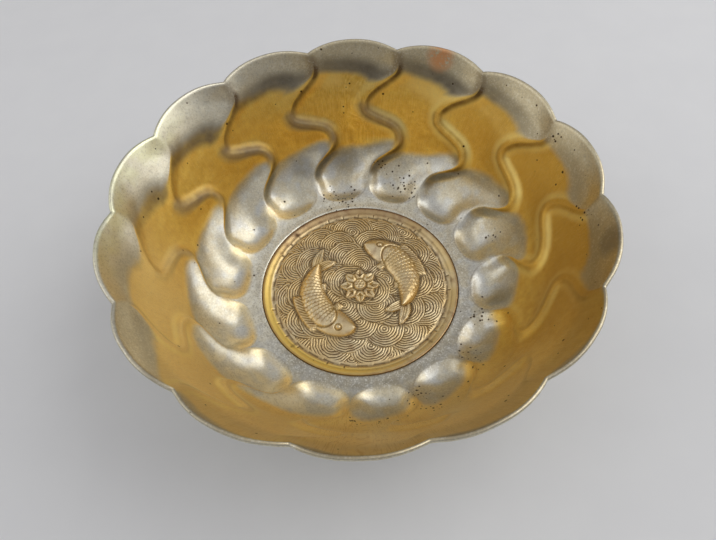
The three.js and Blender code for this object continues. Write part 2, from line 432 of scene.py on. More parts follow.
# %% Places on the bowl, as nodes
wall_inputs = {
    "Lobe count": ("NodeSocketInt", lobe_count),
    "Sheet": ("NodeSocketFloat", sheet),
    "Crest rounding": ("NodeSocketFloat", crest_round),
    "Bulb bottom flank": ("NodeSocketFloat", bulb_bottom_flank),
    "Hollow scale": ("NodeSocketFloat", 1.0),
    "Hammer depth": ("NodeSocketFloat", 0.14 * millimetre),
    "Planish depth": ("NodeSocketFloat", 0.03 * millimetre),
    "Seed": ("NodeSocketInt", 7),
}


def new_tree(name, inputs):
    """An empty Geometry Nodes tree with a mesh input and output and the named inputs."""
    tree = bpy.data.node_groups.new(name, "GeometryNodeTree")
    tree.interface.new_socket("Mesh", in_out="INPUT", socket_type="NodeSocketGeometry")
    tree.interface.new_socket("Mesh", in_out="OUTPUT", socket_type="NodeSocketGeometry")
    for label, (kind, value) in inputs.items():
        socket = tree.interface.new_socket(label, in_out="INPUT", socket_type=kind)
        socket.default_value = value
    return tree


curve_steps = 256


class WallNet(Net):
    """The nodes that turn a height and a place round the bowl into a point on its wall."""

    def __init__(self, tree):
        super().__init__(tree)
        corners = [(radius, 0.0, z + cusp_level) for radius, z in wall_corners]
        places = dict(zip(("Start", "Start Handle", "End Handle", "End"), corners))
        self.wall = self.add(
            "GeometryNodeCurvePrimitiveBezierSegment",
            {"mode": "POSITION"},
            {"Resolution": curve_steps, **places},
        ).outputs[0]

    def table(self, value, points):
        """A smooth curve through a few points, read at value, and level past its last point."""
        return self.number("ShaderNodeFloatCurve", {"points": points}, {1: value.at_most(1.0)})

    def drift(self, height):
        return self.table(height / wall_length, crest_drift)

    def along_wall(self, height):
        """Radius and height of the smooth wall, and its two directions, up along it and out."""
        held = height.at_least(0.0).at_most(wall_length)
        sample = self.add(
            "GeometryNodeSampleCurve",
            {"mode": "LENGTH", "use_all_curves": True},
            {"Curves": self.wall, "Length": held},
        )
        radius, _, level = self.split(sample.outputs["Position"])
        up_r, _, up_z = self.split(sample.outputs["Tangent"])
        return radius, level, up_r, up_z, height - held

    def point(self, height, place, push=0.0):
        radius, level, up_r, up_z, beyond = self.along_wall(height)
        return self.polar(
            radius + up_r * beyond + up_z * push,
            place,
            level + up_z * beyond - up_r * push,
        )

    def polar(self, radius, place, level):
        angle = first_cusp - place * lobe_angle
        return self.combine(radius * angle.math("COSINE"), radius * angle.math("SINE"), level)

    def edge(self, steps, height_and_place):
        """A line of points on the smooth wall, as one edge of the lobe."""
        line = self.add("GeometryNodeMeshLine", values={"Count": steps + 1}).outputs[0]
        share = self.number("GeometryNodeInputIndex") / steps
        height, place = height_and_place(share)
        return self.placed(line, Position=self.point(height, place))

    def distance(self, line, point):
        settings = {"target_element": "EDGES"}
        node = self.add("GeometryNodeProximity", settings, {0: line, "Sample Position": point})
        return Number(self, node.outputs["Distance"])

    def placed(self, geometry, **values):
        """The geometry with its points at a Position, or moved by an Offset."""
        values = {"Geometry": geometry, **values}
        return self.add("GeometryNodeSetPosition", values=values).outputs[0]

    def stored(self, name):
        return self.number("GeometryNodeInputNamedAttribute", {"data_type": "FLOAT"}, {0: name})

    def store(self, mesh, name, value):
        settings = {"data_type": "FLOAT", "domain": "POINT"}
        values = {"Geometry": mesh, "Name": name, "Value": value}
        return self.add("GeometryNodeStoreNamedAttribute", settings, values).outputs[0]


# %% The lobe's three edges, on the smooth wall
edge_steps = 120


def crest(net, offset):
    """The crest at that place round the bowl, in lobes, from the bulb up to the rim."""
    top = wall_length + crown_rise

    def run(share):
        height = bulb_top + share * (top - bulb_top)
        return height, net.drift(height) + offset

    return net.edge(edge_steps, run)


def bulb_bottom(net):
    """The round line under a bulb, from crest to crest."""
    def run(share):
        over = 0.5 - (share * math.pi).math("COSINE") * 0.5
        bulge = 1 - (over * 2 - 1).math("ABSOLUTE") ** bulb_fullness
        return bulb_top - bulge ** (1 / bulb_fullness) * bulb_drop, over + crest_drift[-1][1]

    return net.edge(edge_steps, run)


# %% One lobe, bent onto the wall and hollowed
def flank(distance, width, rounding, fullness=2.0):
    """0 on an edge of the lobe and 1 that width away from it. The edge itself is rounded."""
    softened = (distance * distance + rounding * rounding) ** 0.5 - rounding
    return 1 - (1 - (softened / width).at_most(1.0)) ** fullness


def raised_lobe(net, lobe, size):
    """The strip in its place, with the marks that the finish reads."""
    height, across = net.stored("height"), net.stored("across")
    share = height / wall_length
    place = net.drift(height.at_least(bulb_top)) + across
    smooth_point = net.point(height, place)
    to_steep = net.distance(crest(net, 0.0), smooth_point)
    to_gentle = net.distance(crest(net, 1.0), smooth_point)
    to_bottom = net.distance(bulb_bottom(net), smooth_point)

    rounding = size["Crest rounding"]
    steep_width = net.table(share, steep_flank) * millimetre
    gentle_width = net.table(share, gentle_flank) * millimetre
    hollow = flank(to_steep, steep_width, rounding, steep_fullness)
    hollow = hollow * flank(to_gentle, gentle_width, rounding)
    hollow = hollow * flank(to_bottom, size["Bulb bottom flank"], rounding)
    depth = net.table(share, hollow_depth) * millimetre * size["Hollow scale"]
    push = depth * hollow * net.stored("hollow")

    # Level rings round the seat have a radius and a height of their own
    level = net.stored("level")
    levelled = level.math("GREATER_THAN", 0.0)
    on_wall = net.point(height, place, push + net.stored("side") * size["Sheet"])
    on_ring = net.polar(net.stored("ring"), across + crest_drift[-1][1], level)
    values = {"Factor": levelled, 4: on_wall, 5: on_ring}
    where = net.add("ShaderNodeMix", {"data_type": "VECTOR"}, values).outputs[1]
    upper, lower = net.table(across, upper_border), net.table(across, lower_border)
    marks_for_finish = {
        "crest_gap": to_steep.at_most(to_gentle) / millimetre,
        "steep_gap": to_steep / millimetre,
        "bottom_gap": to_bottom / millimetre,
        "above_gilt": height / millimetre - upper,
        "below_gilt": lower - height / millimetre,
        # How dark the smoky tarnish and painted shade over the gilt band are, across the lobe
        "smoke": net.table(across, smoke_and_shade_share),
        "levelled": levelled,
    }
    for name, value in marks_for_finish.items():
        lobe = net.store(lobe, name, value)
    return net.placed(lobe, Position=where)


# %% Copies of the lobe, joined along their crests
join_distance = 0.003 * millimetre


def lobes_round_bowl(net, lobe, count):
    one = net.add("GeometryNodeGeometryToInstance", values={0: lobe}).outputs[0]
    settings = {"domain": "INSTANCE"}
    values = {"Geometry": one, "Amount": count}
    copies = net.add("GeometryNodeDuplicateElements", settings, values)
    turn = Number(net, copies.outputs["Duplicate Index"]) * -lobe_angle
    values = {"Instances": copies.outputs[0], "Rotation": net.combine(0.0, 0.0, turn)}
    turned = net.add("GeometryNodeRotateInstances", values=values).outputs[0]
    whole = net.add("GeometryNodeRealizeInstances", values={0: turned}).outputs[0]
    values = {0: whole, "Distance": join_distance}
    return net.add("GeometryNodeMergeByDistance", {"mode": "ALL"}, values).outputs[0]


# %% Hammer marks and the sheet's thickness
# Near the floor and near the rim, the marks fade over these shares of the wall.
near_floor = (0.0, 0.08)
near_rim = (0.93, 0.99)
dent_spacing = 9 * millimetre
planish_spacing = 3.2 * millimetre
planish_seed = 10.0
steepest_stretch = 0.62


def hammered(net, bowl, size, outward, unmarked):
    """Broad dents and fine planishing, the same through the sheet, but not where unmarked."""
    position = net.add("GeometryNodeInputPosition").outputs[0]
    share = net.stored("height") / wall_length

    def marks(spacing, seed):
        values = {"Vector": position, "W": seed, "Scale": 1 / spacing, "Detail": 1.0}
        return net.number("ShaderNodeTexNoise", {"noise_dimensions": "4D"}, values) - 0.5

    dents = marks(dent_spacing, size["Seed"]) * size["Hammer depth"] * 2
    planish = marks(planish_spacing, size["Seed"] + planish_seed) * size["Planish depth"] * 2
    amount = (dents + planish) * share.band(*near_floor, *near_rim) * (1 - unmarked)
    return net.placed(bowl, Offset=net.scaled(outward, amount))


def thickened(net, bowl, size, outward, upward, level):
    """Outside points move further where the flank is steep, and the lip bulges up."""
    normal = net.add("GeometryNodeInputNormal").outputs[0]
    facing = Number(net, net.vector("DOT_PRODUCT", normal, outward, output=1)).math("ABSOLUTE")
    stretch = 1 / facing.at_least(steepest_stretch) - 1
    below_rim = (net.stored("height") / wall_length).falling(*near_rim)
    through = net.stored("side") * size["Sheet"] * stretch * (1 - level) * below_rim
    lip = net.stored("lip") * size["Sheet"] * 0.5 * (1 - level)
    offset = net.vector("ADD", net.scaled(outward, through), net.scaled(upward, lip))
    return net.placed(bowl, Offset=offset)


# %% The tree that raises the bowl
def bowl_tree(material):
    tree = new_tree("raise_bowl", wall_inputs)
    net = WallNet(tree)
    given = net.add("NodeGroupInput").outputs
    size = {label: Number(net, given[label]) for label in wall_inputs}
    bowl = lobes_round_bowl(net, raised_lobe(net, given["Mesh"], size), size["Lobe count"])

    # The smooth wall's directions at each point: out of it and up along it
    x, y, _ = net.split(net.add("GeometryNodeInputPosition").outputs[0])
    radius = net.from_axis(x, y)
    _, _, up_r, up_z, _ = net.along_wall(net.stored("height"))
    outward = net.combine(x / radius * up_z, y / radius * up_z, up_r * -1)
    upward = net.combine(x / radius * up_r, y / radius * up_r, up_z)
    level = net.stored("levelled")
    bowl = hammered(net, bowl, size, outward, level)
    bowl = thickened(net, bowl, size, outward, upward, level)
    bowl = net.add("GeometryNodeRealizeInstances", values={0: bowl}).outputs[0]
    values = {"Geometry": bowl, "Material": material}
    bowl = net.add("GeometryNodeSetMaterial", values=values).outputs[0]
    net.add("NodeGroupOutput", values={0: bowl})
    return tree


# %% Grow an object from a tree and keep the result as a plain mesh
def grown(source, tree, name, inputs):
    """The mesh that a tree makes from source, as a new object, with no modifier left."""
    modifier = source.modifiers.new("tree", "NODES")
    modifier.node_group = tree
    sockets = {s.name: s.identifier for s in tree.interface.items_tree if s.in_out == "INPUT"}
    for label, (_, value) in inputs.items():
        modifier[sockets[label]] = value
    evaluated = source.evaluated_get(bpy.context.evaluated_depsgraph_get())
    mesh = bpy.data.meshes.new_from_object(evaluated)
    mesh.name = name
    bpy.data.objects.remove(source)
    return new_object(name, mesh)

# %% [markdown]
# ## The metal's finish
# Two tones lie on one sheet. The wall has a gilt band with a ragged lower and upper edge, and the
# rim, the bulbs and the floor have the pale tone. Rubbing has taken the gilding off the crests,
# brown dirt and painted shade lie beside them, and corrosion has left clusters of small pits. Some
# layers paint light into the colour as well: painted highlights, reflections and sheen, and
# painted shade on the sides away from the light. A painted image could hold all this, but a rule
# in nodes is sharp at any distance. The zones read attributes that the shell's tree stores, in
# millimetres, because only the tree knows where a lobe's edges are. The rest reads object
# coordinates.

# %% Sides of the bowl where the finish or the painted light differs
# For each, an angle from +X in degrees, and how far towards it the difference starts and is
# full: 1 is at that angle, 0 a quarter of the way round from it, -1 on the far side.
# Most sides mark where the light falls differently, and their layers paint that light or shade into
# the colour.
sides = {
    "gilt to the rim": (-80, 0.45, 0.7),
    "gilt low down": (-62, 0.2, 0.8),
    "gilt short of the rim": (155, 0.7, 0.95),
    "gilt high up": (25, 0.8, 0.97),
    "near left": (-130, 0.8, 0.95),
    "shaded gold": (8, 0.6, 0.9),
    "lit gold": (-112, 0.1, 0.7),
    "highlight under the border": (75, 0.6, 0.95),
    "highlit crests": (35, 0.3, 0.9),
    "worn crests": (125, 0.35, 0.8),
    "lit metal": (170, 0.3, 0.9),
    "greenish sheen on the rim": (170, 0.85, 0.99),
    "shaded rim": (-80, 0.1, 0.5),
    "smoky and shaded rim": (105, 0.2, 0.6),
    "far": (85, 0.2, 0.95),
    "gold reflection under bulbs": (-160, -0.2, 0.6),
    "lit floor": (130, -0.3, 0.7),
    "tan, shaded floor": (-80, 0.2, 0.8),
    "lit border": (-140, 0.0, 0.9),
    "dull, shaded border": (105, 0.1, 0.9),
}


# %% Material nodes
lobe_shift = 20 * millimetre
smallest_pit = 0.45


class MaterialNet(Net):
    """The nodes of one metal."""

    def __init__(self, name):
        self.material = bpy.data.materials.new(name)
        self.material.use_nodes = True
        super().__init__(self.material.node_tree)
        self.shader = self.tree.nodes["Principled BSDF"]
        self.place = self.add("ShaderNodeTexCoord").outputs["Object"]

    def attribute(self, name):
        return self.number("ShaderNodeAttribute", {"attribute_name": name}, output="Fac")

    def painted(self, tone, *layers):
        """A tone with layers over it: each a mask, how strongly it covers there, and its tone."""
        for mask, strength, layer in layers:
            tone = self.blend(mask * strength, tone, layer)
        return tone

    def noise(self, spacing, seed, detail=2.0, place=None):
        """Noise from 0 to 1 with features about that far apart."""
        values = {"Vector": place or self.place, "W": seed, "Scale": 1 / spacing, "Detail": detail}
        return self.number("ShaderNodeTexNoise", {"noise_dimensions": "4D"}, values)

    def streaks(self, length, width, seed, turn):
        """Noise drawn out into fine lines across the bowl, in a direction turned about +Z."""
        turned = self.add(
            "ShaderNodeVectorRotate",
            {"rotation_type": "Z_AXIS"},
            {"Vector": self.place, "Angle": turn},
        ).outputs[0]
        drawn = self.vector("MULTIPLY", turned, (width / length, 1.0, 1.0))
        return self.noise(width, seed, 1.0, drawn)

    def along_lobe(self, length, width, seed):
        """Noise drawn out along the S of the lobes, different in each lobe."""
        across = self.attribute("across") * (cusp_radius * lobe_angle)
        up = self.attribute("height") * (width / length)
        place = self.combine(across, up, self.toward(0.0) * lobe_shift)
        return self.noise(width, self.toward(math.pi / 2) * 4 + seed, 2.0, place)

    def toward(self, turn):
        """1 on the bowl's side at that angle from +X, -1 on the far side."""
        x, y, _ = self.split(self.place)
        return (x * math.cos(turn) + y * math.sin(turn)) / self.from_axis(x, y)

    def side(self, name):
        """1 on that side of the bowl, fading to 0 round it."""
        degrees, start, full = sides[name]
        return self.toward(math.radians(degrees)).rising(start, full)

    def pits(self, spacing, radius, share, shift):
        """1 in small round spots. Only that share of the cells has one, of its own size."""
        moved = self.vector("ADD", self.place, (shift, shift, shift))
        values = {"Vector": moved, "Scale": 1 / spacing}
        cells = self.add("ShaderNodeTexVoronoi", {"voronoi_dimensions": "3D"}, values)
        chance, size, _ = self.split(cells.outputs["Color"])
        reach = radius / spacing * (smallest_pit + size * (1 - smallest_pit))
        inside = (Number(self, cells.outputs["Distance"]) / reach).falling(0.6, 1.0)
        return inside * chance.math("LESS_THAN", share)

    def bump(self, height, distance):
        """A normal from a height field from 0 to 1 that is distance deep."""
        values = {"Height": height, "Distance": distance, "Strength": 1.0}
        return self.add("ShaderNodeBump", values=values).outputs[0]

    def finish(self, colour, roughness, normal):
        """The metal, with what changes over its surface."""
        links = {"Base Color": colour, "Roughness": roughness, "Normal": normal}
        for name, value in links.items():
            self.tree.links.new(getattr(value, "socket", value), self.shader.inputs[name])
        self.shader.inputs["Metallic"].default_value = 1.0
        return self.material


# %% Tones of the metal
pale_tone = (0.67, 0.645, 0.535, 1)
pale_warm = (0.58, 0.52, 0.39, 1)
pale_cool_reflection = (0.60, 0.62, 0.62, 1)
pale_lime_sheen = (0.95, 0.95, 0.62, 1)
pale_glint = (0.95, 0.94, 0.86, 1)
pale_shadow = (0.33, 0.31, 0.27, 1)
pale_straw = (0.70, 0.60, 0.38, 1)
pale_painted_light = (0.90, 0.86, 0.70, 1)
gilt_highlight = (1.0, 0.82, 0.30, 1)
gilt_tone = (0.92, 0.66, 0.155, 1)
gilt_deep = (0.76, 0.47, 0.09, 1)
gilt_dark_and_shade = (0.64, 0.37, 0.06, 1)
gilt_warm_and_highlight = (1.0, 0.74, 0.24, 1)
gilt_painted_light = (0.98, 0.78, 0.38, 1)
floor_tan_and_shade = (0.40, 0.36, 0.27, 1)
worn_grey = (0.31, 0.25, 0.18, 1)
brown_dirt_and_shade = (0.13, 0.075, 0.03, 1)
smoke_and_shade_grey = (0.13, 0.115, 0.09, 1)
pit_brown = (0.05, 0.025, 0.012, 1)
stain_red = (0.80, 0.38, 0.16, 1)


# %% [markdown]
# ## What the shell's layers share
# Every layer of the finish asks the same few things: how high up the wall a point is, how far it
# is from the nearest crest, on which side of the bowl, and how the metal varies there. They are
# worked out once, in a net for the shell, so that two layers that meet agree on their edge.

# %% What the shell's layers read
# Zones are heights up the wall, in millimetres, at which each begins, is full, fades and ends.
zones = {
    "bulbs": (6, 11, 34, 42),
    "bulb flanks": (9, 13, 17, 20),
    "wall": (17, 20, 45, 48),
    "middle": (20, 24, 33.5, 36.5),
    "level crests": (26, 29, 33.5, 36.5),
    "under notches": (42, 45, 49, 52),
}


def wall_place(lobes, height):
    """The point on the smooth wall that many lobes clockwise of the first notch."""
    lengths = np.concatenate([[0], np.cumsum(np.hypot(*np.diff(outline, axis=0).T))])
    radius = np.interp(height, lengths, outline[:, 0])
    angle = first_cusp - lobes * lobe_angle
    level = np.interp(height, lengths, outline[:, 1]) + cusp_level
    return Vector((radius * math.cos(angle), radius * math.sin(angle), level))


class ShellNet(MaterialNet):
    """The shell's marks, in millimetres, and the patterns that its layers share."""

    def __init__(self):
        super().__init__("shell_metal")
        self.height = self.attribute("height") / millimetre
        self.crest, self.steep = self.attribute("crest_gap"), self.attribute("steep_gap")
        self.bottom, self.hollow = self.attribute("bottom_gap"), self.attribute("hollow")
        self.inside = self.attribute("side").falling(0.2, 0.8)
        self.on_floor = self.height.falling(2, 5) * self.inside
        self.broad = self.noise(9 * millimetre, 3.0)
        self.patchy = self.noise(2.2 * millimetre, 4.0, 3.0)
        self.fine = self.noise(0.5 * millimetre, 5.0)
        self.ragged = (self.patchy - 0.5) * 1.4 + (self.fine - 0.5) * 0.6
        brushed = self.streaks(14 * millimetre, 0.22 * millimetre, 6.0, 0.5)
        crossed = self.streaks(9 * millimetre, 0.16 * millimetre, 7.0, -0.9)
        self.lines = (brushed + crossed) * 0.5
        self.drawn = self.along_lobe(12 * millimetre, 1.6 * millimetre, 16.0)
        self.far = self.side("far")

    def zone(self, name):
        return self.height.band(*zones[name])

    def spot(self, lobes, height, reach):
        """1 at a place on the wall, in lobes and millimetres, and 0 further than reach from it."""
        centre = wall_place(lobes, height * millimetre)
        distance = Number(self, self.vector("DISTANCE", self.place, centre, output=1))
        return (distance / (reach * millimetre)).falling(0.3, 1.0)


# %% [markdown]
# ## The gilding and the pale metal
# Gold laid on by hand has borders that wander from lobe to lobe, and it is streaked along the
# lobes. The pale metal shifts between grey and straw. One noise between two colours would look
# the same all round, and old metal and the light on it differ from side to side. So each tone is
# a thin layer with a mask of its own, laid over the last, from the broadest to the finest. Some
# layers are painted light: lighter gold and metal where the light falls, darker gold in shade,
# highlights beside the crests and under the upper border, a sheen on the left rim and cool
# reflections on the bulbs.

# %% Where the gilding lies
def gilt_borders(net):
    """How far above the band's upper border and below its lower border, in millimetres."""
    wander = (net.noise(15 * millimetre, 8.0, 1.0) - 0.5) * 5
    raised = net.side("gilt to the rim") * front_rise
    dropped = net.side("gilt short of the rim") * left_drop
    above = net.attribute("above_gilt") - raised + dropped * 0.3 + wander * 0.5
    lowered = net.side("gilt low down") * front_dip
    lifted = net.side("gilt high up") * right_lift + net.side("near left") * near_lift
    below = net.attribute("below_gilt") + net.height - lowered + lifted + wander
    return above, below.at_least(lowest_gilt) - net.height


def gilding(net, above, below):
    """1 on the gilt band, with ragged borders, and 0 on the lip and the outside."""
    under_rim = (above + net.ragged * 0.6).falling(-1.3, 1.1)
    over_bulbs = (below + net.ragged).falling(-1.8, 1.6)
    return under_rim * over_bulbs * net.inside * net.attribute("lip").falling(0.1, 0.6)


# %% Tones of the two finishes
def gilt_tones(net, above):
    """The gilding: streaked along the lobes, with painted shade on the right, painted light in
    front and on the left, and painted highlights beside the crests and under the upper border.
    """
    # Painted highlights beside the crests, and just under the upper border of the gilding
    crest_highlight = net.crest.band(0.8, 1.8, 2.0, 4.0) * (0.2 + net.broad)
    crest_highlight = crest_highlight * (0.05 + net.side("highlit crests") * 0.7 + net.side("near left") * 0.6)
    border_highlight = above.rising(-6, -3) * net.broad.rising(0.3, 0.6)
    return net.painted(
        gilt_tone,
        ((net.patchy * 0.7 + net.lines * 0.5).rising(0.35, 0.8), 1, gilt_deep),
        # Painted shade darkens the gold on the right; painted light lightens it in front and on the
        # left
        (net.side("shaded gold") * net.height.rising(24, 31), 0.7, gilt_dark_and_shade),
        (net.side("lit gold"), 0.7, gilt_painted_light),
        (net.drawn.rising(0.5, 0.66), 0.45, gilt_dark_and_shade),
        (net.drawn.falling(0.34, 0.5), 0.45, gilt_warm_and_highlight),
        (crest_highlight.at_most(0.8), 1, gilt_highlight),
        (border_highlight * net.side("highlight under the border"), 0.7, gilt_warm_and_highlight),
    )


def pale_tones(net):
    """The pale metal: painted light on the left and on the bulbs in front on the left,
    straw-coloured towards the rim elsewhere, a painted sheen on the left rim and painted cool
    reflections low down.
    """
    bright = net.side("lit metal")
    off_bulbs = net.height.falling(2, 5) + net.height.rising(34, 42)
    # Painted cool reflections, in patches low on the wall
    cool_reflection = net.noise(5 * millimetre, 17.0, 1.0).rising(0.45, 0.62)
    # A painted yellow-green sheen on the rim on the left
    greenish = net.side("greenish sheen on the rim") * net.height.rising(44, 48)
    return net.painted(
        pale_tone,
        ((net.broad * 0.7 + net.patchy * 0.3).rising(0.38, 0.68), 1, pale_warm),
        ((net.patchy - 0.2 + net.fine * 0.4).rising(0.25, 0.55), 0.35, pale_straw),
        (net.height.rising(38, 46) * net.inside * (1 - bright), 0.85, pale_straw),
        # Painted light on the left, and on the bulbs in front on the left
        (bright * off_bulbs * net.inside, 0.3 + net.patchy * 0.5, pale_painted_light),
        (net.side("near left") * net.zone("bulbs"), 0.8, pale_painted_light),
        (cool_reflection * net.height.falling(20, 30), 0.55, pale_cool_reflection),
        (greenish * net.broad.rising(0.35, 0.6), 0.7, pale_lime_sheen),
    )


# %% [markdown]
# ## Tarnish, wear, dirt and painted shade
# Age shows where a cloth never reaches and where it rubs too often: tarnish as dark as smoke over
# the gilt band, crests rubbed bare, and brown dirt at the foot of each crest. Painted shade lies
# with them: in the smoke, beside the crests and under the bulbs, strongest on the far side. A
# painted map would need a seam somewhere in the bowl. These masks use the distance to the lobe's
# edges, which the shell's tree stored, so they follow every bend.

# %% Smoky tarnish and painted shade
# Each spot of smoke and painted shade has a place in lobes, a height and a reach, in millimetres.
smoky_and_shaded_spots = [(4.5, 50, 6), (0.3, 17.5, 8), (13.6, 17, 6), (4.4, 11, 6)]


def smoky_and_shaded(net, above, below, gilt):
    """Tarnish and painted shade over the gilt band, fainter under it, in spots and on the flanks.
    """
    over = above + net.side("gilt short of the rim") * (left_drop * 0.7)
    smoke = over.band(-1.6, 0.8, 2.0, 6.0) * net.attribute("smoke")
    smoke = smoke * (0.35 + net.side("smoky and shaded rim") * 0.65)
    under = below.band(-1.5, 1.0, 2.0, 5.5) * net.broad.rising(0.25, 0.6)
    smoke = smoke.at_least(under * (0.12 + net.far * 0.4))
    for place in smoky_and_shaded_spots:
        smoke = smoke.at_least(net.spot(*place) * (1 - gilt) * 0.6)
    flank_shade = net.steep.rising(0.1, 0.8) * (net.steep + net.ragged * 0.5).falling(1.6, 3.6)
    return smoke.at_least(flank_shade * net.zone("bulb flanks") * net.far * 0.75)


# %% Wear, dirt and painted shade beside the crests, and a painted gold reflection round the bulbs
def rubbed_crests(net):
    """Crests rubbed bare in the middle of the wall, and wider where they run level."""
    width = 1 + net.zone("level crests") * 0.9
    rubbed = (net.crest / width + net.ragged * 0.6).falling(0.2, 2.0) * net.zone("middle")
    return rubbed * (net.broad + net.patchy * 0.4) * (0.1 + net.side("worn crests") * 0.9)


def brown_lines(net):
    """Dirt and painted shade beside the crests and under the bulbs; darker under the rim notches.
    """
    middle = net.zone("middle")
    beside = net.crest.band(0.5, 1.1, 1.1, 2.0) * middle
    steep_foot = net.steep.rising(0.0, 0.6) * (net.steep + net.ragged * 0.3).falling(0.8, 2.6)
    on_wall = (beside * 0.25 + steep_foot * (1 - middle) * 0.7) * net.zone("wall")
    under_bulb = net.bottom.falling(0.1, 0.6) * net.hollow.rising(0.4, 1.0)
    under_bulb = under_bulb * net.height.falling(8.5, 9.5)
    under_notch = (net.crest + net.ragged * 0.5).falling(0.6, 2.6) * net.zone("under notches")
    dirt_and_shade = on_wall * (0.25 + net.far * 0.75) + under_bulb * 0.25 + under_notch * net.far * 0.5
    return dirt_and_shade * net.inside * (0.5 + net.patchy)


# A painted reflection of the gilt wall along the bulbs' lower edges
def gold_reflection_under_bulbs(net):
    beside = (net.bottom + net.ragged * 0.6).falling(0.8, 3.6) * net.hollow
    return beside * net.side("gold reflection under bulbs") * net.inside * net.height.rising(2, 5)


# %% [markdown]
# ## Painted dents, pits and a stain
# Close up, the pale metal is full of tiny dents, painted as specks of shade and glint, and
# corrosion has eaten clusters of round pits.
# As geometry they would take millions of faces. A cell noise does it: each small cell may hold
# one pit, and a cluster only raises the chance that it does.

# %% Painted dents, pits and a stain
# Each cluster of pits has a place in lobes, a height and a reach, in millimetres.
pit_clusters = [
    (5.58, 8, 3.5), (5.62, 12, 4), (5.7, 15, 3), (6.7, 9, 3), (6.75, 13, 4), (6.65, 17, 3.5),
    (4.78, 7, 3.5), (7.1, 11, 3), (7.07, 18, 3.5), (6.45, 8, 2.5), (7.25, 14, 3), (7.6, 16, 2.5),
    (1.2, 11, 5), (1.5, 8, 5), (0.95, 14, 3), (3.15, 47, 2.5), (3.3, 13, 4), (4.05, 44, 3.5),
    (0.1, 4, 6), (0.0, 1.5, 4),
]
pits_elsewhere = 0.014
pits_in_cluster = 0.9
stain_spot = (1.5, 53, 5.5)


def dent_shade_and_glints(net, gilt, smoke):
    """Painted shade and glints for the tiny dents in the pale metal, as dark and light specks."""
    grain = net.noise(0.42 * millimetre, 10.0, 1.0)
    dented = (1 - gilt * 0.7) * (0.6 + net.on_floor * 0.4)
    glint = grain.falling(0.28, 0.5) * dented * (1 - gilt) * (1 - smoke)
    return (grain.rising(0.5, 0.72) * dented, 0.5, pale_shadow), (glint, 0.5, pale_glint)


def corroded(net):
    """1 in the pits, which are rare but for their clusters."""
    crowd = pits_elsewhere
    for lobes, height, reach in pit_clusters:
        crowd = net.spot(lobes, height, reach * 1.25) * pits_in_cluster + crowd
    return net.pits(1.15 * millimetre, 0.46 * millimetre, crowd, 0.2) * net.inside


def stained(net):
    return net.spot(*stain_spot) * (net.patchy * 0.6 + net.fine * 0.4).rising(0.38, 0.52)


# %% The shell's two-tone metal
shell_roughness = 0.37
shell_relief_depth = 0.015 * millimetre


def shell_finish():
    net = ShellNet()
    above, below = gilt_borders(net)
    gilt = gilding(net, above, below)
    smoke = smoky_and_shaded(net, above, below, gilt)
    rubbed = rubbed_crests(net)
    dirt_and_shade = brown_lines(net)
    pitted = corroded(net)
    tan = net.side("tan, shaded floor") * 0.55 + net.patchy.rising(0.4, 0.65) * 0.35
    tone = net.painted(
        net.blend(gilt, pale_tones(net), gilt_tones(net, above)),
        # Smoky tarnish and painted shade over the gilt band, in spots and on the bulbs' flanks
        (smoke * net.inside, 0.65 + net.patchy * 0.35, smoke_and_shade_grey),
        (rubbed.at_most(1.0) * net.inside, 1, worn_grey),
        # Dark lines of dirt and painted shade beside the crests and under the bulbs
        (dirt_and_shade.at_most(0.9), 1, brown_dirt_and_shade),
        # Painted reflection of the gilt wall along the bulbs' lower edges
        (gold_reflection_under_bulbs(net), 0.6, gilt_painted_light),
        # Painted light on the floor ring towards the back left
        (net.on_floor * net.side("lit floor"), 0.65, pale_painted_light),
        # A tan stain on the floor ring in patches, and painted shade on it in front
        (net.on_floor, tan, floor_tan_and_shade),
        (net.side("shaded rim") * net.height.rising(40, 47) * net.inside, 0.24, brown_dirt_and_shade),
        # Painted shade and glints for the tiny dents
        *dent_shade_and_glints(net, gilt, smoke),
        (pitted, 0.9, pit_brown),
        (stained(net), 0.9, stain_red),
    )
    rough = shell_roughness + (net.lines - 0.5) * 0.22 + (net.patchy - 0.5) * 0.16
    rough = rough + gilt * 0.05 + dirt_and_shade * 0.25 + rubbed * 0.2 + pitted * 0.3 + smoke * 0.08
    planished = net.noise(1.5 * millimetre, 9.0, 1.0)
    relief = net.lines * 0.4 + net.fine * 0.2 + planished * 1.6 + net.drawn * gilt * 2.5
    relief = relief - pitted * 1.5 + 1.5
    return net.finish(tone, rough, net.bump(relief, shell_relief_depth))


# %% Grow the shell
def add_piece(piece, node):
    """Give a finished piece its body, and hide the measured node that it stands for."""
    for polygon in piece.data.polygons:
        polygon.use_smooth = True
    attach(piece, "root")
    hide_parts(node)


shell_metal = shell_finish()
bowl = grown(pattern, bowl_tree(shell_metal), "bowl_skin", wall_inputs)
add_piece(bowl, "bowl_shell")
print(f"bowl: {len(bowl.data.polygons)} faces, its metal {len(shell_metal.node_tree.nodes)} nodes")

# %% [markdown]
# ## The relief disc
# The disc is cast and then chased: a dished border, a ring of engraved dashes, a ground of wave
# fans, and two fish that chase each other round a lotus. Sculpting it by hand would give the
# liveliest figures. Here the relief is a height over a plane, so each figure is a formula, and
# the highest one wins wherever two meet. A square grid pulled into a circle keeps the cells
# even, and its outer rings follow the rim. The finest lines, the waves, are only stored as a
# distance, and the material cuts them sharper than any grid could.

